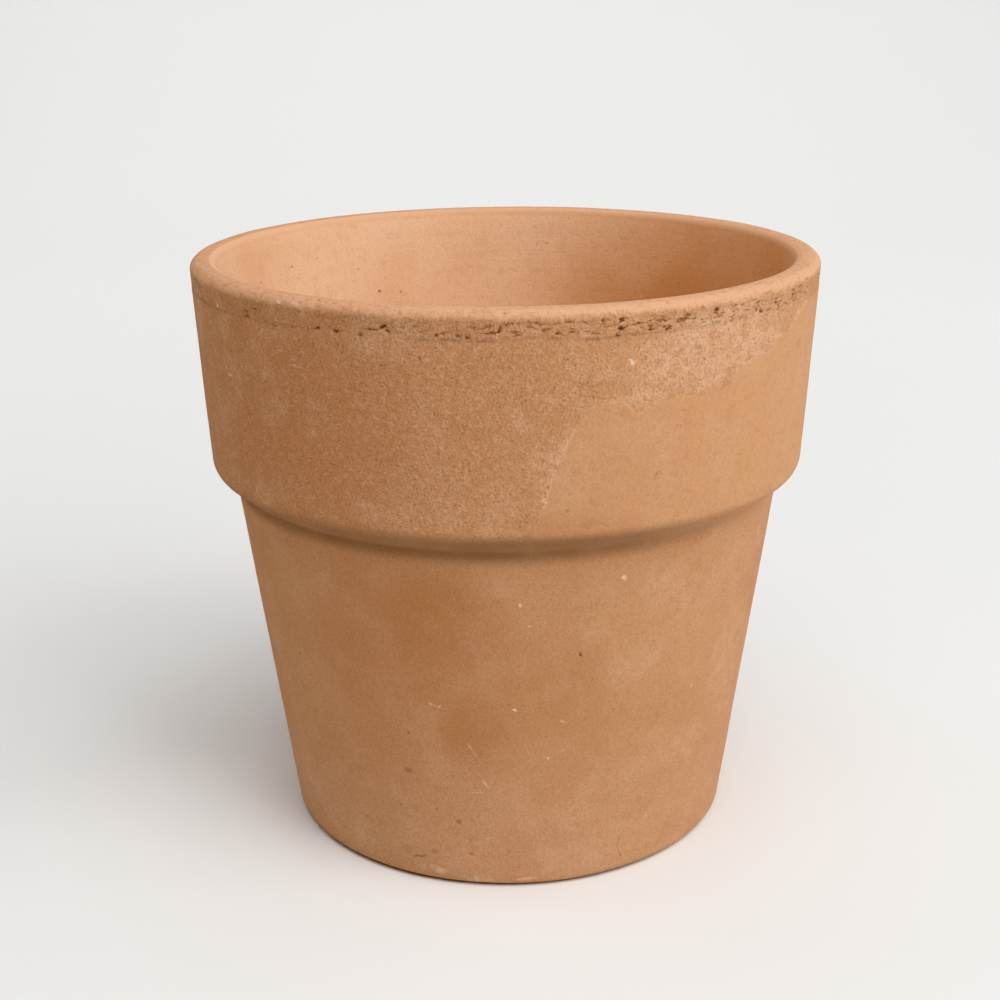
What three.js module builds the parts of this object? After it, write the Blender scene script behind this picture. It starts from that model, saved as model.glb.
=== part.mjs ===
// Terracotta flower pot with a deep collar rim: one piece of fired clay, turned about the vertical axis.
// Millimetres, +Z up. The origin is the centre of the underside, on the surface the pot stands on.

import * as THREE from 'three';

// Outside
const potHeight = 141.5;
const rimRadius = 75;           // collar's outside, carried up to the lip's plane
const collarFootRadius = 72.2;  // collar's outside, carried down to its lower corner
const collarFootHeight = 92;
const creaseRadius = 66.8;      // where the collar's underside meets the tapered body
const creaseHeight = 87.8;
const baseRadius = 54.8;        // body's outside, carried down to the underside

// Inside
const lipWall = 6.4;            // clay across the top of the lip
const baseWall = 6.2;           // clay between the outside of the base and the inside of the floor
const floorThickness = 8;
const drainRadius = 10;         // hole through the middle of the floor

// Rounds, all radii
const lipOuterRound = 2.3;
const lipInnerRound = 2;
const collarFootRound = 3.6;
const creaseRound = 0.8;
const baseRound = 3.1;
const floorRound = 7;
const drainTopRound = 1.5;
const drainBottomRound = 1;

// Facets
const turnSegments = 72;
const arcStepDegrees = 18;

// Cross-section's corners from the drain hole's lower edge out, up the outside, over the lip and back inside.
function sectionCorners() {
  const wallFoot = baseRadius + (creaseRadius - baseRadius) * (floorThickness / creaseHeight);
  return [
    { radius: drainRadius, height: 0, round: drainBottomRound },
    { radius: baseRadius, height: 0, round: baseRound },
    { radius: creaseRadius, height: creaseHeight, round: creaseRound },
    { radius: collarFootRadius, height: collarFootHeight, round: collarFootRound },
    { radius: rimRadius, height: potHeight, round: lipOuterRound },
    { radius: rimRadius - lipWall, height: potHeight, round: lipInnerRound },
    { radius: wallFoot - baseWall, height: floorThickness, round: floorRound },
    { radius: drainRadius, height: floorThickness, round: drainTopRound },
  ];
}

// Points of the arc that rounds one corner, tangent to the two straight sides that meet there.
function roundedCorner(before, corner, after) {
  const at = new THREE.Vector2(corner.radius, corner.height);
  const toBefore = new THREE.Vector2(before.radius, before.height).sub(at).normalize();
  const toAfter = new THREE.Vector2(after.radius, after.height).sub(at).normalize();
  const halfAngle = Math.acos(toBefore.dot(toAfter)) / 2;
  const toCentre = toBefore.clone().add(toAfter).normalize();
  const centre = at.clone().addScaledVector(toCentre, corner.round / Math.sin(halfAngle));
  const tangentLength = corner.round / Math.tan(halfAngle);
  const start = at.clone().addScaledVector(toBefore, tangentLength).sub(centre);

  const turn = Math.sign(toAfter.cross(toBefore)) * (Math.PI - 2 * halfAngle);
  const steps = Math.max(1, Math.ceil(Math.abs(THREE.MathUtils.radToDeg(turn)) / arcStepDegrees));
  const points = [];
  for (let step = 0; step <= steps; step++) {
    const spoke = start.clone().rotateAround(new THREE.Vector2(), turn * step / steps);
    points.push(centre.clone().add(spoke));
  }
  return points;
}

// Closed outline of the clay on one side of the axis.
function sectionOutline() {
  const corners = sectionCorners();
  const count = corners.length;
  const outline = corners.flatMap((corner, i) =>
    roundedCorner(corners[(i + count - 1) % count], corner, corners[(i + 1) % count]));
  outline.push(outline[0].clone());
  return outline;
}

function makePot() {
  const geometry = new THREE.LatheGeometry(sectionOutline(), turnSegments);
  geometry.rotateX(Math.PI / 2);
  const terracotta = new THREE.MeshStandardMaterial({ color: 0xc58a5e, roughness: 0.93, metalness: 0 });
  const pot = new THREE.Mesh(geometry, terracotta);
  pot.name = 'pot';
  return pot;
}

const model = new THREE.Group();
model.add(makePot());

export default model;
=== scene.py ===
"""Terracotta flower pot: one turned clay vessel with a torn, pitted band under its lip."""

import math
import random
from collections import namedtuple
from itertools import accumulate

import bpy
import numpy as np
from mathutils import Matrix, Vector, noise


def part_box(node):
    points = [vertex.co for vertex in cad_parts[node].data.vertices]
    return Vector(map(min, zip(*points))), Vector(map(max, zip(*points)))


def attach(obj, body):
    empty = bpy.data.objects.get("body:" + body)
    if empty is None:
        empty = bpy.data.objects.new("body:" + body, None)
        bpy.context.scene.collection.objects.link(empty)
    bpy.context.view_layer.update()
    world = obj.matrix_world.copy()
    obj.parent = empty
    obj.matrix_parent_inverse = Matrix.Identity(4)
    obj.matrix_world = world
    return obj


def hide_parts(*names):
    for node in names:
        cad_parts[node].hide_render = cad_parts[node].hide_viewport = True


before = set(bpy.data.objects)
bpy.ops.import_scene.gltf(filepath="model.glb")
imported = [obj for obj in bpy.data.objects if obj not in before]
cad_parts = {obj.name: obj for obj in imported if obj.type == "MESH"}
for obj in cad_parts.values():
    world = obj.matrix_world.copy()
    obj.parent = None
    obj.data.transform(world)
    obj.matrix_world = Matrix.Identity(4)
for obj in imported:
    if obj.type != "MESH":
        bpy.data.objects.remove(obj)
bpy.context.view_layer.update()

POT_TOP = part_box("pot")[1].z
MM = 0.001

# Sizes in millimetres, in the pot's own frame. The height comes from the frame.
HEIGHT = POT_TOP / MM
RIM_RADIUS = 75.0            # collar's outside, carried up to the lip's plane
COLLAR_FOOT_RADIUS = 72.2
COLLAR_FOOT_HEIGHT = 92.0
CREASE_RADIUS = 66.8
CREASE_HEIGHT = 87.8
BASE_RADIUS = 54.8
LIP_WALL = 6.4
BASE_WALL = 6.2
FLOOR_THICKNESS = 8.0
DRAIN_RADIUS = 10.0
BAND_FOOT = 133.6            # the finely meshed band under the lip starts here
BAND_LEDGE = 135.3           # the torn clay ends in a faint ledge at this height
BAND_TOP = 139.9

# Rounded corners of the section
BASE_ROUND = 3.1
CREASE_ROUND = 0.8
COLLAR_ROUND = 3.6
LIP_OUTER_ROUND = 2.3
LIP_INNER_ROUND = 2.0
FLOOR_ROUND = 7.0
DRAIN_TOP_ROUND = 1.5
DRAIN_FOOT_ROUND = 1.0

# Vertices round a row of the mesh, and the spacing of rows where the section turns a corner
COARSE, MEDIUM, FINE = 325, 650, 1300
ARC_SPACING = 0.6
ARC_STEPS = 4                # at least this many rows of faces in an arc


def between(start, end, at):
    """Value at a position on the line through two (position, value) pairs."""
    share = (at - start[0]) / (end[0] - start[0])
    return start[1] + (end[1] - start[1]) * share


def body_radius(height):
    return between((0, BASE_RADIUS), (CREASE_HEIGHT, CREASE_RADIUS), height)


def collar_radius(height):
    return between((COLLAR_FOOT_HEIGHT, COLLAR_FOOT_RADIUS), (HEIGHT, RIM_RADIUS), height)


def outside_radius(height):
    return body_radius(height) if height < CREASE_HEIGHT else collar_radius(height)


def inside_radius(height):
    foot = body_radius(FLOOR_THICKNESS) - BASE_WALL
    return between((FLOOR_THICKNESS, foot), (HEIGHT, RIM_RADIUS - LIP_WALL), height)


def smooth(value):
    """0 to 1 with soft ends, for a value clipped to 0 to 1."""
    value = np.clip(value, 0, 1)
    return value * value * (3 - 2 * value)


# ---------------------------------------------------------------------------------------------- section

# A corner of the section. The spacing of rows and the vertices round each row belong to the side after it.
Corner = namedtuple("Corner", "radius height round spacing turns")


def section_corners():
    return [
        Corner(DRAIN_RADIUS, 0, DRAIN_FOOT_ROUND, 5.0, COARSE),
        Corner(BASE_RADIUS, 0, BASE_ROUND, 2.2, COARSE),
        Corner(CREASE_RADIUS, CREASE_HEIGHT, CREASE_ROUND, 0.8, COARSE),
        Corner(COLLAR_FOOT_RADIUS, COLLAR_FOOT_HEIGHT, COLLAR_ROUND, 1.8, MEDIUM),
        Corner(collar_radius(BAND_FOOT), BAND_FOOT, 0, 0.35, FINE),
        Corner(RIM_RADIUS, HEIGHT, LIP_OUTER_ROUND, 0.9, MEDIUM),
        Corner(RIM_RADIUS - LIP_WALL, HEIGHT, LIP_INNER_ROUND, 4.0, COARSE),
        Corner(inside_radius(FLOOR_THICKNESS), FLOOR_THICKNESS, FLOOR_ROUND, 3.0, COARSE),
        Corner(DRAIN_RADIUS, FLOOR_THICKNESS, DRAIN_TOP_ROUND, 2.0, COARSE),
    ]


def rounded_corner(before, corner, after):
    """(point, outward normal) along the arc that rounds one corner, or the corner itself if it is sharp."""
    at = Vector((corner.radius, corner.height))
    to_before = (Vector((before.radius, before.height)) - at).normalized()
    to_after = (Vector((after.radius, after.height)) - at).normalized()
    if corner.round == 0:
        return [(at, Vector((-to_before.y, to_before.x)))]
    half_angle = to_before.angle(to_after) / 2
    centre = at + (to_before + to_after).normalized() * corner.round / math.sin(half_angle)
    start = at + to_before * corner.round / math.tan(half_angle) - centre
    convex = to_before.x * to_after.y - to_before.y * to_after.x < 0
    facing = 1 if convex else -1
    turn = facing * (math.pi - 2 * half_angle)
    steps = max(ARC_STEPS, math.ceil(abs(turn) * corner.round / ARC_SPACING))
    points = []
    for step in range(steps + 1):
        spoke = Matrix.Rotation(turn * step / steps, 2) @ start
        points.append((centre + spoke, spoke.normalized() * facing))
    return points


def section_rows():
    """Rows of the mesh along the closed section: (point, outward normal, vertices round the row)."""
    corners = section_corners()
    count = len(corners)
    arcs = [
        rounded_corner(corners[i - 1], corners[i], corners[(i + 1) % count])
        for i in range(count)
    ]
    rows = []
    for i, corner in enumerate(corners):
        arc_turns = max(corner.turns, corners[i - 1].turns)
        rows += [(point, normal, arc_turns) for point, normal in arcs[i]]
        start = arcs[i][-1][0]
        end, normal = arcs[(i + 1) % count][0]
        gaps = max(1, round((end - start).length / corner.spacing))
        rows += [(start.lerp(end, k / gaps), normal, corner.turns) for k in range(1, gaps)]
    return rows


# ------------------------------------------------------------------------------------------ torn surface

# A mark torn into the clay. Azimuth is in degrees from the front towards +X, lengths are half sizes, and
# tilt turns the mark's long side anticlockwise from level.
Mark = namedtuple("Mark", "azimuth height length width depth tilt")

# The larger tears at the front and sides of the band, as they were made by the forming tool.
LARGE_TEARS = [
    Mark(-48, 135.6, 1.4, 0.32, 0.39, -4), Mark(-45.6, 137.7, 1.1, 0.35, 0.45, -6),
    Mark(-28, 135.6, 0.9, 0.44, 0.52, -10), Mark(-23.6, 135.3, 1.1, 0.44, 0.39, 0),
    Mark(-19.6, 137.4, 1.2, 0.44, 0.59, 25), Mark(-21.3, 136.7, 1.9, 0.32, 0.39, 3),
    Mark(-18.9, 136.6, 0.8, 0.38, 0.52, -20), Mark(-14.3, 137.8, 0.9, 0.35, 0.33, 0),
    Mark(-7.6, 136.1, 1.0, 0.44, 0.45, -18), Mark(-6.2, 135.7, 0.9, 0.38, 0.45, -12),
    Mark(-4.2, 137.5, 1.7, 0.32, 0.33, 2), Mark(-1.1, 137.6, 1.10, 0.45, 0.50, 75),
    Mark(-0.2, 138.4, 0.80, 0.35, 0.40, 25), Mark(1.6, 136.4, 0.9, 0.38, 0.39, -15),
    Mark(5.9, 137.3, 1.6, 0.32, 0.29, 0), Mark(5.1, 138.3, 0.7, 0.38, 0.36, -10),
    Mark(9.9, 136.6, 0.8, 0.38, 0.45, 15), Mark(9.6, 138.7, 1.0, 0.32, 0.39, -5),
    Mark(14.9, 138.6, 0.6, 0.44, 0.52, 0), Mark(16, 137.4, 1.9, 0.32, 0.33, 0),
    Mark(17.8, 136.8, 0.7, 0.81, 0.59, 45), Mark(20.4, 137.3, 1.5, 0.32, 0.39, 2),
    Mark(23, 136.0, 0.8, 0.44, 0.59, 0), Mark(24.6, 137.8, 2.1, 0.32, 0.39, 2),
    Mark(29, 137.2, 2.6, 0.33, 0.52, 2), Mark(28.3, 136.5, 0.8, 0.32, 0.39, -30),
    Mark(35.7, 138.3, 0.7, 0.56, 0.65, 15), Mark(36.2, 136.8, 1.0, 0.32, 0.45, 4),
    Mark(41.5, 138.3, 0.6, 0.38, 0.45, 0), Mark(45.3, 136.8, 0.8, 0.62, 0.39, -15),
    Mark(51.7, 136.2, 1.2, 0.44, 0.33, -20), Mark(57, 137.7, 1.3, 0.32, 0.26, 0),
    Mark(62.9, 139.4, 0.9, 0.56, 0.78, 5),
]

# Small tears, drawn all round the band. They crowd to the right of the front and again behind, in step with
# the sine of twice the azimuth plus CROWDING_TURN. A size is half a width, and a depth grows with it.
SEED = 11
SMALL_TEAR_DRAWS = 480
CROWDING_TURN = 25           # degrees
LEAST_CHANCE = 0.25          # share of the draws kept where tears are fewest
SMALL_HEIGHT, SMALL_HEIGHT_SPREAD = 137.2, 1.1
SMALL_TOP = BAND_TOP - 0.6
LEAST_SIZE, SIZE_RANGE = 0.10, 0.32
SMALL_STRETCH = 1.0, 3.2
LEAST_DEPTH, DEPTH_GROWTH = 0.10, 0.85
SMALL_TILT_SPREAD = 14

# Longer tears, drawn at the sides and the back, past the large ones at the front
REAR_TEARS = 34
REAR_START = 66              # degrees to both sides of the front
REAR_HEIGHT, REAR_HEIGHT_SPREAD = 137, 0.8
REAR_LENGTH = 0.8, 2.2
REAR_WIDTH, REAR_DEPTH = 0.3, 0.35
REAR_TILT_SPREAD = 9

# A mark's cut starts at OUTLINE times its half sizes, is full a share FALL further in, and is ragged.
OUTLINE, FALL = 1.15, 0.85
OUTLINE_LIMIT = 2            # no cut reaches further than this many half lengths
OUTLINE_RAGGEDNESS = 0.55
OUTLINE_FINENESS = 1.9       # per millimetre
OUTLINE_SLICE = 3.0

# Depth of the clay under the true surface: slow undulation and faint turning ridges
MEAN_DEPTH = 0.13
SLOW_DEPTH, SLOW_SIZE = 0.10, 34.0
SLOW_LAYERS, LAYER_FINENESS, LAYER_FADING = 3, 2.0, 1.0
OUTER_RIDGE_DEPTH, INNER_RIDGE_DEPTH = 0.03, 0.06
RIDGE_LENGTH, RIDGE_HEIGHT = 90, 2.6
FOOT_FLATTENING = 0.4        # the clay stays true over this height, where the pot stands

# The band sinks a little deeper than the rest, with a rough face. Its ledge comes and goes round the pot.
BAND_DEPTH, BAND_ROUGHNESS, BAND_GRAIN = 0.12, 0.11, 1.1
BAND_GRAIN_SQUASH = 2.2
BAND_FOOT_FADE, BAND_TOP_FADE = 0.5, 1.2
LEDGE_WAVES, LEDGE_GAP_WAVES, LEDGE_SLICE = 6, 0.55, 8.0
LEDGE_WOBBLE, LEDGE_WIDTH = 0.5, 0.32
LEDGE_PRESENCE, LEDGE_CONTRAST = 0.5, 1.6


def small_tears():
    draw = random.Random(SEED)
    tears = []
    for _ in range(SMALL_TEAR_DRAWS):
        azimuth = draw.uniform(-180, 180)
        crowding = 0.5 + 0.5 * math.sin(math.radians(2 * azimuth + CROWDING_TURN))
        if draw.random() > LEAST_CHANCE + (1 - LEAST_CHANCE) * crowding:
            continue
        height = draw.gauss(SMALL_HEIGHT, SMALL_HEIGHT_SPREAD)
        height = min(max(height, BAND_LEDGE), SMALL_TOP)
        size = LEAST_SIZE + SIZE_RANGE * draw.random() ** 2
        length = size * draw.uniform(*SMALL_STRETCH)
        depth = LEAST_DEPTH + DEPTH_GROWTH * size
        tears.append(Mark(azimuth, height, length, size, depth, draw.gauss(0, SMALL_TILT_SPREAD)))
    for _ in range(REAR_TEARS):
        azimuth = draw.choice([-1, 1]) * draw.uniform(REAR_START, 180)
        height = draw.gauss(REAR_HEIGHT, REAR_HEIGHT_SPREAD)
        length = draw.uniform(*REAR_LENGTH)
        tilt = draw.gauss(0, REAR_TILT_SPREAD)
        tears.append(Mark(azimuth, height, length, REAR_WIDTH, REAR_DEPTH, tilt))
    return tears


def offsets(mark, azimuth, height, radius):
    """Distances of vertices from a mark's centre, round the pot and upwards, in mm."""
    turned = (azimuth - mark.azimuth + 180) % 360 - 180
    return np.radians(turned) * radius, height - mark.height


def along_and_aside(across, up, tilt):
    """The same distances along a tilted mark's long side and square to it."""
    turn = math.radians(tilt)
    along = across * math.cos(turn) + up * math.sin(turn)
    aside = up * math.cos(turn) - across * math.sin(turn)
    return along, aside


def cut_depths(azimuth, height, radius, marks):
    """Depth of clay torn away at each vertex by all the marks, in mm."""
    arc = np.radians(azimuth) * radius
    ragged = np.array([noise.noise(Vector((a * OUTLINE_FINENESS, h * OUTLINE_FINENESS, OUTLINE_SLICE)))
                       for a, h in zip(arc, height)])
    depth = np.zeros(len(azimuth))
    for mark in marks:
        across, up = offsets(mark, azimuth, height, radius)
        limit = OUTLINE_LIMIT * mark.length
        near = np.nonzero((np.abs(across) < limit) & (np.abs(up) < limit))[0]
        along, aside = along_and_aside(across[near], up[near], mark.tilt)
        reach = np.hypot(along / mark.length, aside / mark.width)
        reach *= 1 + OUTLINE_RAGGEDNESS * ragged[near]
        cut = smooth((OUTLINE - reach) / FALL) * mark.depth
        depth[near] = np.maximum(depth[near], cut)
    return depth


def unevenness(position, outward):
    """How far a vertex lies under the true surface, in mm."""
    slow = noise.fractal(position / SLOW_SIZE, LAYER_FADING, LAYER_FINENESS, SLOW_LAYERS)
    ridge = noise.noise(Vector((position.x / RIDGE_LENGTH, position.y / RIDGE_LENGTH,
                                position.z / RIDGE_HEIGHT)))
    return MEAN_DEPTH + SLOW_DEPTH * slow + (OUTER_RIDGE_DEPTH if outward else INNER_RIDGE_DEPTH) * ridge


# --------------------------------------------------------------------------------------------- pot mesh

# One value for each vertex: its place round the pot, and its normal's parts outwards and upwards. Sine and
# cosine times a radius are its X and Y.
Skin = namedtuple("Skin", "azimuth sine cosine radius height out up")

# Least part of a normal that counts as facing that way
FACES_SIDEWAYS, FACES_UP = 0.2, 0.5
FLOOR_MARGIN = 0.5           # the inside takes in the drain hole's wall down to this far under the floor


def bridge(first, first_turns, second, second_turns):
    """Faces between two rows. One row may have twice the vertices of the other."""
    faces = []
    if first_turns == second_turns:
        for i in range(first_turns):
            j = (i + 1) % first_turns
            faces.append((first + i, first + j, second + j, second + i))
    elif second_turns == 2 * first_turns:
        for i in range(first_turns):
            j, middle, end = (i + 1) % first_turns, 2 * i + 1, (2 * i + 2) % second_turns
            faces.append((first + i, first + j, second + end, second + middle))
            faces.append((first + i, second + middle, second + 2 * i))
    else:
        for i in range(second_turns):
            j, middle, end = (i + 1) % second_turns, 2 * i + 1, (2 * i + 2) % first_turns
            faces.append((first + 2 * i, first + middle, second + i))
            faces.append((first + middle, first + end, second + j, second + i))
    return faces


def turned_skin(rows):
    """The vertices of all the rows, turned round the axis."""
    turns = [count for _, _, count in rows]
    azimuth = np.concatenate([np.arange(count) * 360.0 / count for count in turns])
    azimuth = (azimuth + 180) % 360 - 180
    angle = np.radians(azimuth)
    section = [(point.x, point.y, normal.x, normal.y) for point, normal, _ in rows]
    radius, height, out, up = np.repeat(section, turns, axis=0).T
    return Skin(azimuth, np.sin(angle), -np.cos(angle), radius, height, out, up)


def torn_band(skin, outside):
    """Shares of the band and of its ledge at each vertex, from 0 to 1."""
    around = [Vector((sine * LEDGE_WAVES, cosine * LEDGE_WAVES, LEDGE_SLICE))
              for sine, cosine in zip(skin.sine, skin.cosine)]
    wobble = np.array([noise.noise(place) for place in around])
    presence = np.array([noise.noise(place * LEDGE_GAP_WAVES) for place in around])
    over_ledge = skin.height - BAND_LEDGE - LEDGE_WOBBLE * wobble
    ledge = np.exp(-(over_ledge / LEDGE_WIDTH) ** 2) * smooth(LEDGE_PRESENCE + LEDGE_CONTRAST * presence)
    start = smooth((over_ledge + BAND_FOOT_FADE / 2) / BAND_FOOT_FADE)
    end = smooth((BAND_TOP - skin.height) / BAND_TOP_FADE)
    return outside * start * end, outside * ledge


def torn_depths(skin, outside):
    """Depth of clay torn away at each vertex, in mm. Only the band has tears."""
    torn = np.zeros(len(skin.azimuth))
    picked = np.nonzero(outside & (skin.height > BAND_FOOT))[0]
    marks = LARGE_TEARS + small_tears()
    torn[picked] = cut_depths(skin.azimuth[picked], skin.height[picked], skin.radius[picked], marks)
    return torn


def band_roughness(skin, band):
    """Noise of about -1 to 1 over the band, or 0 elsewhere."""
    rough = np.zeros(len(band))
    for i in np.nonzero(band > 0)[0]:
        x, y = skin.radius[i] * skin.sine[i], skin.radius[i] * skin.cosine[i]
        rough[i] = noise.noise(Vector((x, y, skin.height[i] * BAND_GRAIN_SQUASH)) / BAND_GRAIN)
    return rough


def sunk_depths(skin, torn, band):
    """How far each vertex lies under the true surface, in mm."""
    places = zip(skin.radius * skin.sine, skin.radius * skin.cosine, skin.height)
    sunk = np.array([unevenness(Vector(place), out > 0) for place, out in zip(places, skin.out)])
    sunk += torn + band * (BAND_DEPTH + BAND_ROUGHNESS * band_roughness(skin, band))
    return sunk * (1 - smooth((FOOT_FLATTENING - skin.height) / FOOT_FLATTENING))


def skin_faces(rows):
    """Faces from each row to the next, and from the last back to the first."""
    turns = [count for _, _, count in rows]
    starts = list(accumulate(turns, initial=0))
    faces = []
    for i in range(len(rows)):
        j = (i + 1) % len(rows)
        faces += bridge(starts[i], turns[i], starts[j], turns[j])
    return faces


def patches(skin, stains):
    """Strength at each vertex of the strongest stain that covers it, or 0."""
    strongest = np.zeros(len(skin.azimuth))
    for stain in stains:
        across, up = offsets(stain, skin.azimuth, skin.height, skin.radius)
        along, aside = along_and_aside(across, up, stain.tilt)
        reach = (along / stain.length) ** 2 + (aside / stain.width) ** 2
        strength = smooth((1 - reach) / (1 - stain.core ** 2)) * stain.strength
        strongest = np.maximum(strongest, strength)
    return strongest


def pot_mesh():
    """The pot's closed mesh, and the values at its vertices that its material reads."""
    rows = section_rows()
    skin = turned_skin(rows)
    outside = skin.out > FACES_SIDEWAYS
    on_floor = (skin.up > FACES_UP) & (skin.height < CREASE_HEIGHT)
    inside = ((skin.out < -FACES_SIDEWAYS) | on_floor) & (skin.height > FLOOR_THICKNESS - FLOOR_MARGIN)
    band, ledge = torn_band(skin, outside)
    torn = torn_depths(skin, outside)

    sunk = sunk_depths(skin, torn, band)
    radius = skin.radius - skin.out * sunk
    height = skin.height - skin.up * sunk
    points = np.stack([radius * skin.sine, radius * skin.cosine, height], 1) * MM
    points[:, 2] = np.clip(points[:, 2], 0, POT_TOP)
    mesh = bpy.data.meshes.new("terracotta_pot")
    mesh.from_pydata(points.tolist(), [], skin_faces(rows))

    # Inside, the patches are painted shade on the right inner wall and a stain.
    red = np.where(outside, patches(skin, RED_PATCHES), inside * patches(skin, INSIDE_SHADE_AND_STAIN_PATCHES))
    pale = outside * patches(skin, PALE_PATCHES)
    fields = {"torn": torn, "band": band, "ledge": ledge, "inside": inside, "red": red, "pale": pale}
    for name, values in fields.items():
        mesh.attributes.new(name, "FLOAT", "POINT").data.foreach_set("value", values.astype(np.float32))
    mesh.shade_smooth()
    mesh.validate()
    return mesh


# --------------------------------------------------------------------------------------------- material

def colour(red, green, blue):
    return (red, green, blue, 1.0)


CLAY = colour(0.52, 0.293, 0.166)
RED_CLAY = colour(0.455, 0.226, 0.118)
PALE_CLAY = colour(0.67, 0.44, 0.300)
SLIP = colour(0.54, 0.303, 0.170)
# The lip's paler clay: partly worn clay, partly painted light on the up-facing lip.
LIP_WORN_AND_LIT_CLAY = colour(0.685, 0.402, 0.250)
# Painted light: the inside's colour is a paler copy of the clay, for the brighter light inside the pot.
INSIDE_LIT_CLAY = colour(0.82, 0.550, 0.370)
# Painted shade: a darker copy of the inside clay.
INSIDE_SHADE = colour(0.67, 0.370, 0.195)
# Dark clay for the dark marks, and painted shade in tears, dashes, pores and pits.
DARK_CLAY_AND_PIT_SHADE = colour(0.21, 0.100, 0.058)
# Brown for real grime and dust, and also for the painted shade under the collar.
GRIME_AND_SHADE = colour(0.235, 0.140, 0.085)
CHALK = colour(0.80, 0.64, 0.50)

# Finish, and how far each feature stands out in shares of the bump's height
ROUGHNESS, GRIT_ROUGHNESS, MOTTLE_ROUGHNESS = 0.82, 0.08, 0.10
SPECULAR = 0.4
BUMP_STRENGTH = 0.8
BUMP_HEIGHT = 0.20           # millimetres
SAND_RELIEF = 1.1
MOTTLE_RELIEF = 0.5
TURNING_RELIEF = 0.35
DASH_RELIEF = -2.0
SLIP_RELIEF = 0.9

# The clay's noises: the size of their features in millimetres and the number of finer layers in each
CLOUD = 36, 2
PATCH = 10, 3
MOTTLE = 3.0, 3
COARSE_GRAIN = 1.3, 2
SAND = 0.6, 1
DUST = 0.4, 0
TURNING = 1.5, 2
DASHES = 1.0, 2
LAYER_STRENGTH = 0.6         # of each finer layer, next to the one before
TURNING_STRETCH = (0.05, 0.05, 1)    # turning marks run round the pot
DASH_STRETCH = (0.36, 1.5, 0)        # dashes are long and low on the unrolled band

# A fade makes a share out of a noise, a height or a distance: 0 at start, strength at end, soft between.
Fade = namedtuple("Fade", "start end strength")

# Where each zone of the pot begins. Heights are in millimetres.
COLLAR_START = Fade(COLLAR_FOOT_HEIGHT - 1.0, COLLAR_FOOT_HEIGHT + 1.5, 1.0)
LIP_START = Fade(HEIGHT - 2.5, HEIGHT - 0.8, 1.0)
UNDER_SLIP_EDGE = Fade(-0.5, 0.7, 1.0)       # by distance below the edge
CREASE_MIDDLE = CREASE_HEIGHT + 1.2
NEAR_CREASE = Fade(5.2, 1.6, 1.0)            # by distance above or below the crease's middle

# How far noises push the zones' edges and the stains to and fro, in millimetres
LIP_RAGGEDNESS = 0.8
EDGE_LOBES, EDGE_RAGGEDNESS = 9.0, 8.0
STAIN_RAGGEDNESS = 2.2

# How gritty the clay is, and what the collar, the slip and the inside add to that
GRIT, COLLAR_GRIT, SLIP_GRIT, INSIDE_GRIT = 0.62, 0.45, -0.15, -0.30

# Firing colours, and painted light: bounce light at the foot, a lit inside with shade on its right wall, and
# a paler lip on the lit side
CLOUD_REDNESS = Fade(0.42, 0.66, 0.50)
SLIP_REDNESS = Fade(0.52, 0.72, 0.40)
PATCH_PALENESS = Fade(0.45, 0.75, 1.0)
FOOT_PAINTED_BOUNCE_LIGHT = Fade(48.0, 4.0, 1.0)         # by height: painted bounce light off the floor, paler towards the foot
BLOOM_LEAST = 0.55
BLOOM_MOTTLING = Fade(0.38, 0.64, 0.80)
FLAKED_EDGE = Fade(0.38, 0.54, 2.0)
INSIDE_TURNING = Fade(0.50, 0.75, 0.15)
INSIDE_CLOUDS = Fade(0.55, 0.35, 0.30)
# Share of the inside patches, mostly painted shade, in the darker copy.
INSIDE_PATCH_SHADE = 0.55
LIP_PAINTED_LIGHT = Fade(-60.0, 0.0, 0.15)            # by X: painted light, the lip is paler towards the lit right
BAND_GRIME = 0.04

# Amounts at a share of 0 and at a share of 1
LIP_GRIT = 1.0, 0.4
GRITTY_PALENESS = 0.16, 0.32
FOOT_PATCHINESS = 0.10, 0.40
BLOOM_SAND = 0.6, 1.2
BLOOM_ON_SLIP = 1.0, 0.3
LIP_MOTTLING = 0.5, 1.0
PORE_SHADE_DARKNESS = 0.35, 0.65
CREASE_PATCHINESS = 0.36, 0.81

# Chalk, painted shade at the crease and in the dashes and tears, and a darker line on the band's ledge
CHALK_LEAST = 0.2
CHALK_BREAKS = Fade(0.35, 0.60, 1.0)
CREASE_PAINTED_SHADE = Fade(70.0, 10.0, 1.235)        # by X, the painted shade thins out towards the lit right
LEDGE_DARKENING = Fade(0.30, 0.55, 0.60)
DASH_DEPTHS = Fade(0.595, 0.645, 1.0)
DASHES_START = Fade(BAND_LEDGE - 0.1, BAND_LEDGE + 0.9, 1.0)
DASHES_END = Fade(BAND_TOP - 0.3, BAND_TOP - 1.3, 1.0)
DASH_CROWDING = 0.55         # mean share of the band's dashes that show
DASH_PAINTED_SHADE = 0.42
TEAR_SAND = 0.10
TEAR_PAINTED_SHADE = Fade(0.15, 0.52, 0.85)

# Round specks scattered about `spacing` apart, in a share of the places. Sizes are in millimetres.
Specks = namedtuple("Specks", "spacing radius share")
# Pores are dark specks: painted shade in holes the mesh doesn't have.
PORES = Specks(4.2, 0.5, 0.55)
CHALK_FLECKS = Specks(8.0, 0.5, 0.4)
FLECK_SHIFT = (31, 17, 5)    # millimetres, so that flecks and pores don't line up
FLECK_STRENGTH = 0.4
SPECK_SOFTNESS = 0.4

# Upper edge of the smooth slip on the collar: (azimuth, height). Below 90 there is none.
SLIP_EDGE = [
    (-180, 112), (-150, 119), (-128, 104), (-116, 84), (2, 84), (5, 97), (7.5, 105.5), (11, 118), (15, 123),
    (21, 118.5), (26, 122.5), (33, 121.5), (42, 125), (49, 127), (64, 134.5), (90, 133), (112, 121),
    (140, 104), (162, 109), (180, 112),
]
SLIP_EDGE_LOW, SLIP_EDGE_HIGH = 80, 140

# A coloured mark on the surface, placed like a tear. Its colour is full over the inner share called core.
Stain = namedtuple("Stain", "azimuth height length width tilt strength core")

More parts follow.
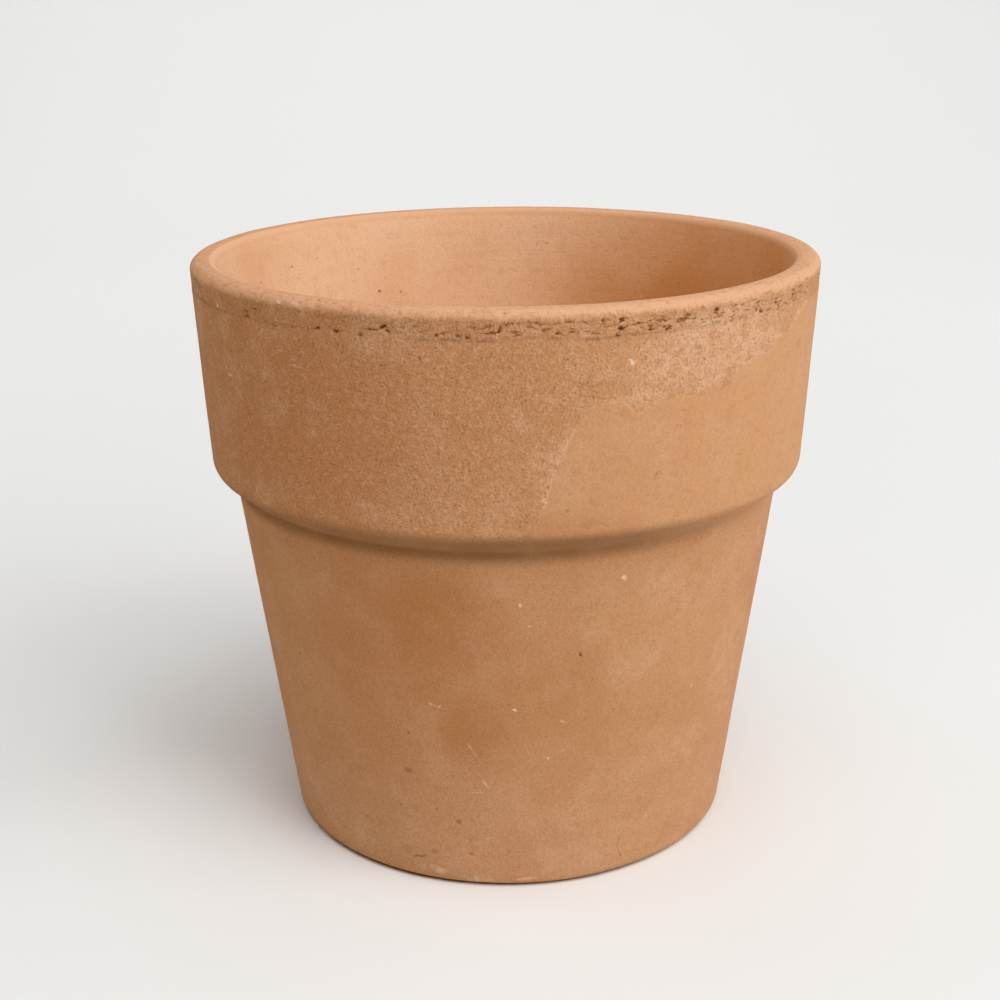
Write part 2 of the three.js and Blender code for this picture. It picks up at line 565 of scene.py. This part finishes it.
# Large soft changes of colour, held at the mesh's vertices
PALE_PATCHES = [
    Stain(36, 130.5, 27, 10, 8, 0.42, 0.4), Stain(11, 108, 7, 15, -12, 0.36, 0.0),
    Stain(23, 121.5, 6, 3.0, -10, 0.46, 0.0), Stain(36, 124.5, 8, 3.0, 12, 0.50, 0.0),
    Stain(49, 129.5, 7, 3.2, 14, 0.42, 0.0), Stain(29, 129, 6, 3.0, 8, 0.42, 0.0),
    Stain(38, 74, 17, 10, -8, 0.16, 0.0), Stain(26, 57, 11, 5, 10, 0.20, 0.0),
    Stain(60, 48, 14, 18, 0, 0.16, 0.0), Stain(40, 31, 16, 6, 14, 0.18, 0.0),
    Stain(47, 27, 3.2, 1.2, 20, 0.25, 0.0), Stain(51, 17, 3.2, 0.8, 38, 0.25, 0.0),
    Stain(-45, 8, 14, 5, -12, 0.20, 0.0), Stain(112, 60, 20, 9, 8, 0.18, 0.0),
    Stain(-100, 30, 15, 11, 0, 0.18, 0.0), Stain(160, 128, 18, 5, -4, 0.50, 0.0),
    Stain(-150, 50, 12, 18, 12, 0.18, 0.0),
]
RED_PATCHES = [
    Stain(-14, 70, 20, 16, 0, 0.95, 0.0), Stain(-30, 60, 22, 20, 0, 0.45, 0.0),
    Stain(-8, 42, 10, 13, 0, 0.90, 0.0), Stain(31, 16.5, 6, 2.6, 14, 0.75, 0.0),
    Stain(16, 125.5, 5, 1.8, 0, 0.55, 0.1), Stain(-2, 130, 14, 5, 0, 0.35, 0.0),
    Stain(8, 94, 26, 5, 0, 0.40, 0.0), Stain(-42, 116, 48, 27, 0, 0.62, 0.3),
    Stain(-140, 70, 25, 16, 0, 0.6, 0.0), Stain(130, 90, 22, 8, 0, 0.5, 0.0),
    Stain(170, 30, 20, 14, 0, 0.5, 0.0),
]
# Painted shade over the right inner wall, which faces away from the lamps, and a stain low on the front
# inner wall.
INSIDE_SHADE_AND_STAIN_PATCHES = [
    Stain(112, 122, 75, 60, 0, 1.0, 0.0), Stain(-20, 60, 60, 50, 0, 0.7, 0.0),
]

# Small marks, drawn by the material
CHALK_STAINS = [
    Stain(20, 129.5, 0.75, 0.75, 0, 0.75, 0.2), Stain(6, 101, 0.75, 0.6, 0, 0.85, 0.2),
    Stain(5.6, 99.8, 0.6, 0.5, 0, 0.45, 0.1), Stain(-57.6, 136, 0.55, 0.55, 0, 0.85, 0.2),
    Stain(-39, 140, 1.0, 0.45, -10, 0.45, 0.1), Stain(-35.5, 140.2, 1.8, 0.5, 0, 0.28, 0.0),
    Stain(-56, 121, 2.6, 0.35, -8, 0.50, 0.1), Stain(-57, 122.3, 2.0, 0.3, -4, 0.30, 0.0),
    Stain(-36.5, 127, 2.9, 0.18, -4, 0.50, 0.1), Stain(-36.8, 128.2, 1.2, 0.25, 5, 0.30, 0.0),
    Stain(-7.6, 37, 4.2, 0.22, -62, 0.36, 0.1), Stain(-5.8, 29.8, 3.4, 0.20, -58, 0.50, 0.1),
    Stain(-6.5, 26.6, 3.2, 0.18, 2, 0.30, 0.1), Stain(-16, 49.2, 1.5, 0.30, -12, 0.55, 0.1),
    Stain(-14.7, 48.8, 0.7, 0.35, 40, 0.55, 0.1), Stain(1.2, 48.6, 0.45, 0.4, 0, 0.70, 0.2),
    Stain(2.2, 75.0, 0.5, 0.45, 0, 0.65, 0.2), Stain(3.9, 70.0, 0.4, 0.4, 0, 0.55, 0.2),
    Stain(11.4, 45.0, 0.9, 0.3, 0, 0.40, 0.1), Stain(22.6, 79.5, 0.8, 0.8, 0, 0.45, 0.1),
    Stain(44.0, 46.5, 0.6, 0.5, 0, 0.45, 0.1), Stain(-4.5, 13.8, 2.8, 0.16, 0, 0.32, 0.1),
    Stain(-19, 3.6, 4.5, 1.1, -6, 0.40, 0.0), Stain(-8, 1.8, 5.0, 0.8, 0, 0.45, 0.0),
    Stain(4, 2.2, 3.2, 0.7, 4, 0.40, 0.0), Stain(64, 79, 1.6, 0.7, -70, 0.30, 0.0),
]
DARK_STAINS = [
    Stain(14.4, 62, 0.6, 0.55, 20, 0.80, 0.3), Stain(-23, 30.5, 1.4, 1.1, 0, 0.35, 0.2),
    Stain(-11.8, 18, 1.0, 0.9, 0, 0.40, 0.2), Stain(-22.5, 6.6, 2.6, 0.5, 12, 0.45, 0.0),
    Stain(-18.2, 8.6, 1.3, 0.9, 0, 0.30, 0.0), Stain(-9.5, 9.4, 0.6, 0.5, 0, 0.50, 0.2),
    Stain(-52.0, 53, 0.6, 0.5, 0, 0.50, 0.2), Stain(-22.0, 40.5, 0.55, 0.5, 0, 0.45, 0.2),
    Stain(27.4, 9.2, 2.6, 0.16, 82, 0.60, 0.2), Stain(27.9, 5.3, 2.0, 0.15, 112, 0.60, 0.2),
    Stain(-50.5, 115, 5.0, 0.16, -68, 0.40, 0.1), Stain(11.5, 126.0, 4.2, 0.22, -14, 0.30, 0.1),
    Stain(12.6, 124.6, 4.4, 0.20, -18, 0.28, 0.1), Stain(13.4, 123.0, 3.6, 0.22, -10, 0.26, 0.1),
    Stain(25.5, 104.5, 1.6, 0.22, 35, 0.45, 0.1), Stain(22.4, 46.6, 0.6, 0.4, 0, 0.35, 0.1),
    Stain(24.4, 47.0, 0.7, 0.4, 0, 0.35, 0.1), Stain(5.5, 110.0, 0.5, 0.4, 0, 0.50, 0.1),
    Stain(48, 140.2, 2.6, 0.20, 6, 0.40, 0.1), Stain(55, 139.9, 2.0, 0.22, 18, 0.50, 0.1),
]
# Pits on the inside, as dark spots: painted shade in holes the mesh doesn't have.
INSIDE_PIT_SHADE_SPOTS = [
    Stain(-124, 131, 0.6, 0.4, -20, 0.6, 0.2), Stain(-143.4, 127.3, 0.5, 0.4, 0, 0.4, 0.2),
    Stain(-148.5, 120.7, 0.6, 0.5, 0, 0.7, 0.2), Stain(-154, 119.9, 0.5, 0.4, 0, 0.5, 0.2),
    Stain(-111.6, 129.5, 0.5, 0.4, 0, 0.5, 0.2), Stain(-132, 131.6, 0.5, 0.4, 0, 0.4, 0.2),
    Stain(135, 124, 0.5, 0.4, 0, 0.4, 0.2), Stain(170, 132, 0.5, 0.4, 0, 0.4, 0.2),
]


class Nodes:
    """Short calls that add nodes to one material. A value may be a number, a vector or a socket."""

    MIX_FIRST, MIX_SECOND, MIX_COLOUR = 6, 7, 2

    def __init__(self, name):
        self.material = bpy.data.materials.new(name)
        self.material.use_nodes = True
        self.tree = self.material.node_tree
        self.surface = self.tree.nodes["Principled BSDF"]

    def put(self, socket, value):
        if isinstance(value, bpy.types.NodeSocket):
            self.tree.links.new(value, socket)
        else:
            socket.default_value = value

    def add(self, kind, settings=(), **inputs):
        node = self.tree.nodes.new("ShaderNode" + kind)
        for name, value in dict(settings).items():
            setattr(node, name, value)
        for name, value in inputs.items():
            self.put(node.inputs[name.replace("_", " ")], value)
        return node

    def attribute(self, name):
        return self.add("Attribute", {"attribute_name": name}).outputs["Fac"]

    def math(self, operation, *values):
        node = self.add("Math", {"operation": operation})
        for socket, value in zip(node.inputs, values):
            self.put(socket, value)
        return node.outputs[0]

    def times(self, *values):
        product = values[0]
        for value in values[1:]:
            product = self.math("MULTIPLY", product, value)
        return product

    def plus(self, *values):
        total = values[0]
        for value in values[1:]:
            total = self.math("ADD", total, value)
        return total

    def minus(self, first, second):
        return self.math("SUBTRACT", first, second)

    def span(self, share, at_zero, at_one):
        """Number on the line from at_zero to at_one."""
        return self.plus(at_zero, self.times(share, at_one - at_zero))

    def sway(self, noise_value, width):
        """A noise's swing to both sides of 0, within about half the width."""
        return self.times(self.minus(noise_value, 0.5), width)

    def vector(self, operation, *values):
        node = self.add("VectorMath", {"operation": operation})
        for socket, value in zip(node.inputs, values):
            self.put(socket, value)
        return node.outputs["Value" if operation in ("LENGTH", "DOT_PRODUCT") else "Vector"]

    def noise(self, vector, size, layers):
        """Noise of about 0 to 1 whose features are `size` millimetres across."""
        node = self.add("TexNoise", Vector=vector, Scale=1 / size, Detail=layers, Roughness=LAYER_STRENGTH)
        return node.outputs["Fac"]

    def fade(self, value, fade):
        """The share that a Fade makes of a value."""
        rising = fade.start < fade.end
        node = self.add("MapRange", {"interpolation_type": "SMOOTHSTEP"}, Value=value)
        self.put(node.inputs["From Min"], fade.start if rising else fade.end)
        self.put(node.inputs["From Max"], fade.end if rising else fade.start)
        self.put(node.inputs["To Min"], 0.0 if rising else fade.strength)
        self.put(node.inputs["To Max"], fade.strength if rising else 0.0)
        return node.outputs["Result"]

    def specks(self, vector, specks):
        """1 in the middle of each round speck, and 0 between them."""
        node = self.add("TexVoronoi", Vector=vector, Scale=1 / specks.spacing)
        chosen = self.add("SeparateColor", Color=node.outputs["Color"]).outputs[0]
        edge = specks.radius / specks.spacing
        dot = self.fade(node.outputs["Distance"], Fade(edge, SPECK_SOFTNESS * edge, 1.0))
        return self.times(dot, self.fade(chosen, Fade(1 - specks.share, 1.0, 1.0)))

    def mix(self, share, first, second):
        node = self.add("Mix", {"data_type": "RGBA"}, Factor=share)
        self.put(node.inputs[self.MIX_FIRST], first)
        self.put(node.inputs[self.MIX_SECOND], second)
        return node.outputs[self.MIX_COLOUR]

    def curve(self, value, points, low, high):
        """Height read off straight lines between (position, height) points."""
        start, end = points[0][0], points[-1][0]
        node = self.add("FloatCurve")
        self.put(node.inputs["Value"], self.math("DIVIDE", self.minus(value, start), end - start))
        line = node.mapping.curves[0]
        while len(line.points) < len(points):
            line.points.new(0.5, 0.5)
        for point, (position, height) in zip(line.points, points):
            point.location = ((position - start) / (end - start), (height - low) / (high - low))
            point.handle_type = "VECTOR"
        node.mapping.update()
        return self.plus(self.times(node.outputs[0], high - low), low)

    def stains(self, unrolled, stains, radius_at):
        """Strength of the strongest stain at a point (arc, height, 1) of the unrolled surface, or 0."""
        strongest = 0.0
        for stain in stains:
            tilt = math.radians(stain.tilt)
            place = Vector((math.radians(stain.azimuth) * radius_at(stain.height), stain.height))
            along = Vector((math.cos(tilt), math.sin(tilt))) / stain.length
            aside = Vector((-math.sin(tilt), math.cos(tilt))) / stain.width
            along, aside = (self.vector("DOT_PRODUCT", unrolled, (way.x, way.y, -way.dot(place)))
                            for way in (along, aside))
            reach = self.plus(self.times(along, along), self.times(aside, aside))
            strength = self.fade(reach, Fade(1.0, stain.core ** 2, stain.strength))
            strongest = self.math("MAXIMUM", strongest, strength)
        return strongest


class Clay(Nodes):
    """The fired clay, with painted light and shade among its colours. Each stage lays colours over the one
    before, and the last one gives the finish.
    """

    def __init__(self):
        super().__init__("fired_clay")
        self.spot = self.vector("MULTIPLY", self.add("TexCoord").outputs["Object"], (1 / MM,) * 3)
        self.x, y, self.z = self.add("SeparateXYZ", Vector=self.spot).outputs
        self.azimuth = self.math("ARCTAN2", self.x, self.times(y, -1.0))
        self.cloud = self.noise(self.spot, *CLOUD)
        self.patch = self.noise(self.spot, *PATCH)
        self.mottle = self.noise(self.spot, *MOTTLE)
        self.coarse = self.noise(self.spot, *COARSE_GRAIN)
        self.sand = self.noise(self.spot, *SAND)
        self.dust = self.noise(self.spot, *DUST)
        self.turning = self.noise(self.vector("MULTIPLY", self.spot, TURNING_STRETCH), *TURNING)
        self.unrolled = self.unroll()
        self.find_zones()
        self.body = CLAY

    def unroll(self):
        """The pot's surface laid flat, as (arc, height, 1) in millimetres, with a ragged shift."""
        radius = self.vector("LENGTH", self.vector("MULTIPLY", self.spot, (1, 1, 0)))
        ragged = self.sway(self.mottle, STAIN_RAGGEDNESS)
        arc = self.plus(self.times(self.azimuth, radius), ragged)
        return self.add("CombineXYZ", X=arc, Y=self.minus(self.z, ragged), Z=1.0).outputs[0]

    def find_zones(self):
        """Shares of 0 to 1 for the pot's zones."""
        self.inside = self.attribute("inside")
        self.outside = self.minus(1.0, self.inside)
        self.band = self.attribute("band")
        self.red = self.attribute("red")
        collar = self.times(self.outside, self.fade(self.z, COLLAR_START))
        self.lip = self.fade(self.plus(self.z, self.sway(self.patch, LIP_RAGGEDNESS)), LIP_START)
        degrees = self.times(self.azimuth, 180 / math.pi)
        edge = self.curve(degrees, SLIP_EDGE, SLIP_EDGE_LOW, SLIP_EDGE_HIGH)
        edge = self.plus(edge, self.sway(self.patch, EDGE_LOBES), self.sway(self.mottle, EDGE_RAGGEDNESS))
        self.covered = self.fade(self.minus(edge, self.z), UNDER_SLIP_EDGE)
        self.slip = self.times(collar, self.covered)
        self.gritty = self.times(collar, self.minus(1.0, self.slip))
        grit = self.plus(GRIT, self.times(self.gritty, COLLAR_GRIT), self.times(self.slip, SLIP_GRIT),
                         self.times(self.inside, INSIDE_GRIT))
        self.grit = self.times(grit, self.span(self.lip, *LIP_GRIT))

    def tint(self, paint, *shares):
        """Lay a colour over the clay, as strongly as the product of the shares."""
        self.body = self.mix(self.times(*shares), self.body, paint)

    def fire(self):
        """Colours that the clay and the slip took on in the kiln, and painted bounce light low on the body.
        """
        self.tint(RED_CLAY, self.fade(self.cloud, CLOUD_REDNESS))
        self.tint(SLIP, self.slip)
        self.tint(RED_CLAY, self.slip, self.fade(self.mottle, SLIP_REDNESS))
        self.tint(RED_CLAY, self.outside, self.red)
        self.tint(PALE_CLAY, self.fade(self.patch, PATCH_PALENESS), self.span(self.gritty, *GRITTY_PALENESS))
        # Painted bounce light: the body grows paler towards the foot, where the floor lights it.
        self.tint(PALE_CLAY, self.outside, self.fade(self.z, FOOT_PAINTED_BOUNCE_LIGHT),
                  self.span(self.patch, *FOOT_PATCHINESS))

    def bloom(self):
        """Pale speckled patches, the slip's flaked edge and a trace of dirt on the band."""
        speckle = self.plus(BLOOM_LEAST, self.fade(self.mottle, BLOOM_MOTTLING))
        self.tint(PALE_CLAY, self.attribute("pale"), speckle, self.span(self.sand, *BLOOM_SAND),
                  self.span(self.slip, *BLOOM_ON_SLIP))
        self.tint(PALE_CLAY, self.slip, self.minus(1.0, self.covered), self.fade(self.patch, FLAKED_EDGE))
        self.tint(GRIME_AND_SHADE, self.band, self.minus(1.0, self.lip), BAND_GRIME)

    def colour_inside(self):
        # Painted light: the inside takes the paler copy of the clay.
        self.tint(INSIDE_LIT_CLAY, self.inside)
        self.tint(PALE_CLAY, self.inside, self.fade(self.turning, INSIDE_TURNING))
        # Painted shade on the right inner wall from the patches, and random darker clouds.
        shade = self.plus(self.times(self.red, INSIDE_PATCH_SHADE), self.fade(self.cloud, INSIDE_CLOUDS))
        self.tint(INSIDE_SHADE, self.inside, shade)

    def wear_and_light_lip(self):
        # Mottled wear, and painted light that makes the lip paler towards the lit right.
        worn_and_lit = self.plus(self.span(self.mottle, *LIP_MOTTLING), self.fade(self.x, LIP_PAINTED_LIGHT))
        self.tint(LIP_WORN_AND_LIT_CLAY, self.lip, worn_and_lit)

    def add_grain(self):
        """Darker and lighter grain, on the gritty collar alone or on all the clay as far as it is gritty."""
        for grain, zone, fade, paint in (
            (self.mottle, self.grit, Fade(0.48, 0.30, 0.40), RED_CLAY),
            (self.coarse, self.gritty, Fade(0.48, 0.32, 0.42), RED_CLAY),
            (self.coarse, self.gritty, Fade(0.54, 0.70, 0.25), PALE_CLAY),
            (self.sand, self.grit, Fade(0.52, 0.30, 0.44), RED_CLAY),
            (self.sand, self.grit, Fade(0.50, 0.76, 0.25), PALE_CLAY),
            (self.dust, self.grit, Fade(0.42, 0.20, 0.46), GRIME_AND_SHADE),
        ):
            self.tint(paint, zone, self.fade(grain, fade))

    def add_marks(self):
        """Pores and inside pits as dark specks of painted shade, flecks of chalk, and the chalky and dark
        marks.
        """
        # Painted shade: dark specks where pores would be.
        pores = self.specks(self.spot, PORES)
        self.tint(DARK_CLAY_AND_PIT_SHADE, pores, self.span(self.gritty, *PORE_SHADE_DARKNESS), self.outside)
        shifted = self.vector("ADD", self.spot, FLECK_SHIFT)
        self.tint(CHALK, self.specks(shifted, CHALK_FLECKS), self.outside, FLECK_STRENGTH)
        chalk = self.stains(self.unrolled, CHALK_STAINS, outside_radius)
        self.tint(CHALK, self.outside, chalk, self.plus(CHALK_LEAST, self.fade(self.mottle, CHALK_BREAKS)))
        self.tint(DARK_CLAY_AND_PIT_SHADE, self.outside, self.stains(self.unrolled, DARK_STAINS, outside_radius))
        self.tint(DARK_CLAY_AND_PIT_SHADE, self.inside, self.stains(self.unrolled, INSIDE_PIT_SHADE_SPOTS, inside_radius))

    def add_crease_shade_and_ledge_line(self):
        """Painted shade under the collar's foot and round the crease, thinning out towards the lit right,
        and a darker line along the band's ledge.
        """
        # Painted shade: darkens the collar's underside and the body just under it, less towards the lit
        # right.
        from_crease = self.math("ABSOLUTE", self.minus(self.z, CREASE_MIDDLE))
        self.tint(GRIME_AND_SHADE, self.outside, self.fade(from_crease, NEAR_CREASE),
                  self.span(self.patch, *CREASE_PATCHINESS), self.fade(self.x, CREASE_PAINTED_SHADE))
        # A darker line along the band's ledge, patchy with the mottle.
        self.tint(GRIME_AND_SHADE, self.attribute("ledge"), self.fade(self.mottle, LEDGE_DARKENING))

    def add_tears(self):
        """Fine dashes torn into the band, and painted shade in the dashes and tears that grows with their
        depth.
        """
        wave = self.math("SINE", self.plus(self.times(self.azimuth, 2.0), math.radians(CROWDING_TURN)))
        crowding = self.plus(DASH_CROWDING, self.times(wave, 1 - DASH_CROWDING))
        rows = self.times(self.fade(self.z, DASHES_START), self.fade(self.z, DASHES_END), self.band)
        dashes = self.noise(self.vector("MULTIPLY", self.unrolled, DASH_STRETCH), *DASHES)
        self.dashes = self.times(self.fade(dashes, DASH_DEPTHS), rows, crowding)
        # Painted shade: the deeper a tear or dash, the darker it is painted.
        depth = self.plus(self.attribute("torn"), self.sway(self.sand, TEAR_SAND),
                          self.times(self.dashes, DASH_PAINTED_SHADE))
        self.tint(DARK_CLAY_AND_PIT_SHADE, self.fade(depth, TEAR_PAINTED_SHADE))

    def finish(self):
        """Base colour, roughness and fine relief of the surface."""
        relief = self.plus(
            self.times(self.sand, self.grit, SAND_RELIEF),
            self.times(self.coarse, self.plus(self.gritty, self.band)),
            self.times(self.mottle, MOTTLE_RELIEF),
            self.times(self.turning, self.inside, TURNING_RELIEF),
            self.times(self.dashes, DASH_RELIEF),
            self.times(self.slip, SLIP_RELIEF),
        )
        bump = self.add("Bump", Height=relief, Strength=BUMP_STRENGTH, Distance=BUMP_HEIGHT * MM)
        roughness = self.plus(ROUGHNESS, self.times(self.grit, GRIT_ROUGHNESS),
                              self.times(self.mottle, MOTTLE_ROUGHNESS))
        inputs = self.surface.inputs
        self.put(inputs["Base Color"], self.body)
        self.put(inputs["Roughness"], roughness)
        self.put(inputs["Specular IOR Level"], SPECULAR)
        self.put(inputs["Normal"], bump.outputs["Normal"])


def terracotta():
    clay = Clay()
    clay.fire()
    clay.bloom()
    clay.colour_inside()
    clay.wear_and_light_lip()
    clay.add_grain()
    clay.add_marks()
    clay.add_crease_shade_and_ledge_line()
    clay.add_tears()
    clay.finish()
    return clay.material


def make_pot():
    pot = bpy.data.objects.new("terracotta_pot", pot_mesh())
    bpy.context.scene.collection.objects.link(pot)
    pot.data.materials.append(terracotta())
    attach(pot, "root")
    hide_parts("pot")


# ------------------------------------------------------------------------------- floor, light and camera

# Sizes and distances in metres
FLAT_RADIUS = 0.9            # the floor is flat out to here, then sweeps up like a shallow dish
SWEEP_RADIUS = 1.0
SWEEP_END = math.radians(68)
SWEEP_STEPS = 20
SWEEP_TURNS = 96
FLOOR_COLOUR = colour(0.92, 0.92, 0.91)
FLOOR_ROUGHNESS = 0.7
FLOOR_SPECULAR = 0.2

# A square light, in degrees, metres and watts. Azimuth is from the front towards +X.
Lamp = namedtuple("Lamp", "name azimuth elevation size power")
LAMPS = [
    Lamp("front_high", 0, 65, 0.8, 6.9),
    Lamp("key", 50, 38, 0.8, 5.8),
    Lamp("side", 100, 38, 0.8, 3.6),
    Lamp("rim", -110, 22, 0.45, 1.4),
    Lamp("left_high", -115, 50, 0.8, 0.5),
    Lamp("back", 180, 60, 0.6, 1.4),
]
LAMP_DISTANCE = 1.2          # from the middle of the pot
POT_MIDDLE = Vector((0, 0, 0.07))
SKY_STRENGTH = 0.02

# Lamps that light the sweep behind the pot evenly from every side: power by azimuth
BACKDROP_POWERS = {0: 4.0, 90: 4.0, 180: 5.8, 270: 4.0}
BACKDROP_ELEVATION = 50
BACKDROP_LAMP_SIZE = 0.6
BACKDROP_REACH = 2.0         # they aim at the sweep this far out and this high
BACKDROP_HEIGHT = 0.2

# The camera is a hand-held one, tilted down and rolled a little. Its place is in millimetres.
CAMERA_PLACE = Vector((-1.7, -398.0, 206.7))
CAMERA_TILT = math.radians(17.92)
CAMERA_ROLL = math.radians(-0.49)
SENSOR_WIDTH = 36.0
LENS = 59.8


def floor_mesh():
    """A flat round floor that curves up at its edge, so that every side has the same plain backdrop."""
    points = [(0, 0, 0)]
    for step in range(SWEEP_STEPS + 1):
        rise = SWEEP_END * step / SWEEP_STEPS
        radius, height = FLAT_RADIUS + SWEEP_RADIUS * math.sin(rise), SWEEP_RADIUS * (1 - math.cos(rise))
        for turn in range(SWEEP_TURNS):
            angle = 2 * math.pi * turn / SWEEP_TURNS
            points.append((radius * math.cos(angle), radius * math.sin(angle), height))
    faces = [(0, 1 + turn, 1 + (turn + 1) % SWEEP_TURNS) for turn in range(SWEEP_TURNS)]
    for step in range(SWEEP_STEPS):
        low, high = 1 + step * SWEEP_TURNS, 1 + (step + 1) * SWEEP_TURNS
        faces += bridge(high, SWEEP_TURNS, low, SWEEP_TURNS)
    mesh = bpy.data.meshes.new("floor")
    mesh.from_pydata(points, [], faces)
    mesh.shade_smooth()
    return mesh


def floor_material():
    material = bpy.data.materials.new("floor")
    material.use_nodes = True
    inputs = material.node_tree.nodes["Principled BSDF"].inputs
    inputs["Base Color"].default_value = FLOOR_COLOUR
    inputs["Roughness"].default_value = FLOOR_ROUGHNESS
    inputs["Specular IOR Level"].default_value = FLOOR_SPECULAR
    return material


def make_floor():
    floor = bpy.data.objects.new("floor", floor_mesh())
    bpy.context.scene.collection.objects.link(floor)
    floor.data.materials.append(floor_material())


def soft_light(lamp, target):
    data = bpy.data.lights.new(lamp.name, "AREA")
    data.size = lamp.size
    data.energy = lamp.power
    light = bpy.data.objects.new(lamp.name, data)
    bpy.context.scene.collection.objects.link(light)
    turn, rise = math.radians(lamp.azimuth), math.radians(lamp.elevation)
    away = Vector((math.sin(turn) * math.cos(rise), -math.cos(turn) * math.cos(rise), math.sin(rise)))
    light.location = POT_MIDDLE + away * LAMP_DISTANCE
    light.rotation_euler = (light.location - target).to_track_quat("Z", "Y").to_euler()
    light.visible_camera = False


def make_lights():
    world = bpy.data.worlds.new("studio")
    bpy.context.scene.world = world
    world.use_nodes = True
    sky = world.node_tree.nodes["Background"]
    sky.inputs["Color"].default_value = colour(1.0, 1.0, 1.0)
    sky.inputs["Strength"].default_value = SKY_STRENGTH
    for lamp in LAMPS:
        soft_light(lamp, POT_MIDDLE)
    for azimuth, power in BACKDROP_POWERS.items():
        turn = math.radians(azimuth)
        sweep = Vector((math.sin(turn) * BACKDROP_REACH, -math.cos(turn) * BACKDROP_REACH, BACKDROP_HEIGHT))
        name = f"backdrop_{azimuth}"
        soft_light(Lamp(name, azimuth, BACKDROP_ELEVATION, BACKDROP_LAMP_SIZE, power), sweep)


def make_camera():
    data = bpy.data.cameras.new("camera")
    data.sensor_width = SENSOR_WIDTH
    data.lens = LENS
    camera = bpy.data.objects.new("camera", data)
    bpy.context.scene.collection.objects.link(camera)
    camera.matrix_world = (
        Matrix.Translation(CAMERA_PLACE * MM)
        @ Matrix.Rotation(math.pi / 2 - CAMERA_TILT, 4, "X")
        @ Matrix.Rotation(CAMERA_ROLL, 4, "Z")
    )
    bpy.context.scene.camera = camera


def main():
    view = bpy.context.scene.view_settings
    view.view_transform = "Khronos PBR Neutral"
    view.look = "Medium High Contrast"
    make_camera()
    make_pot()
    make_floor()
    make_lights()


main()
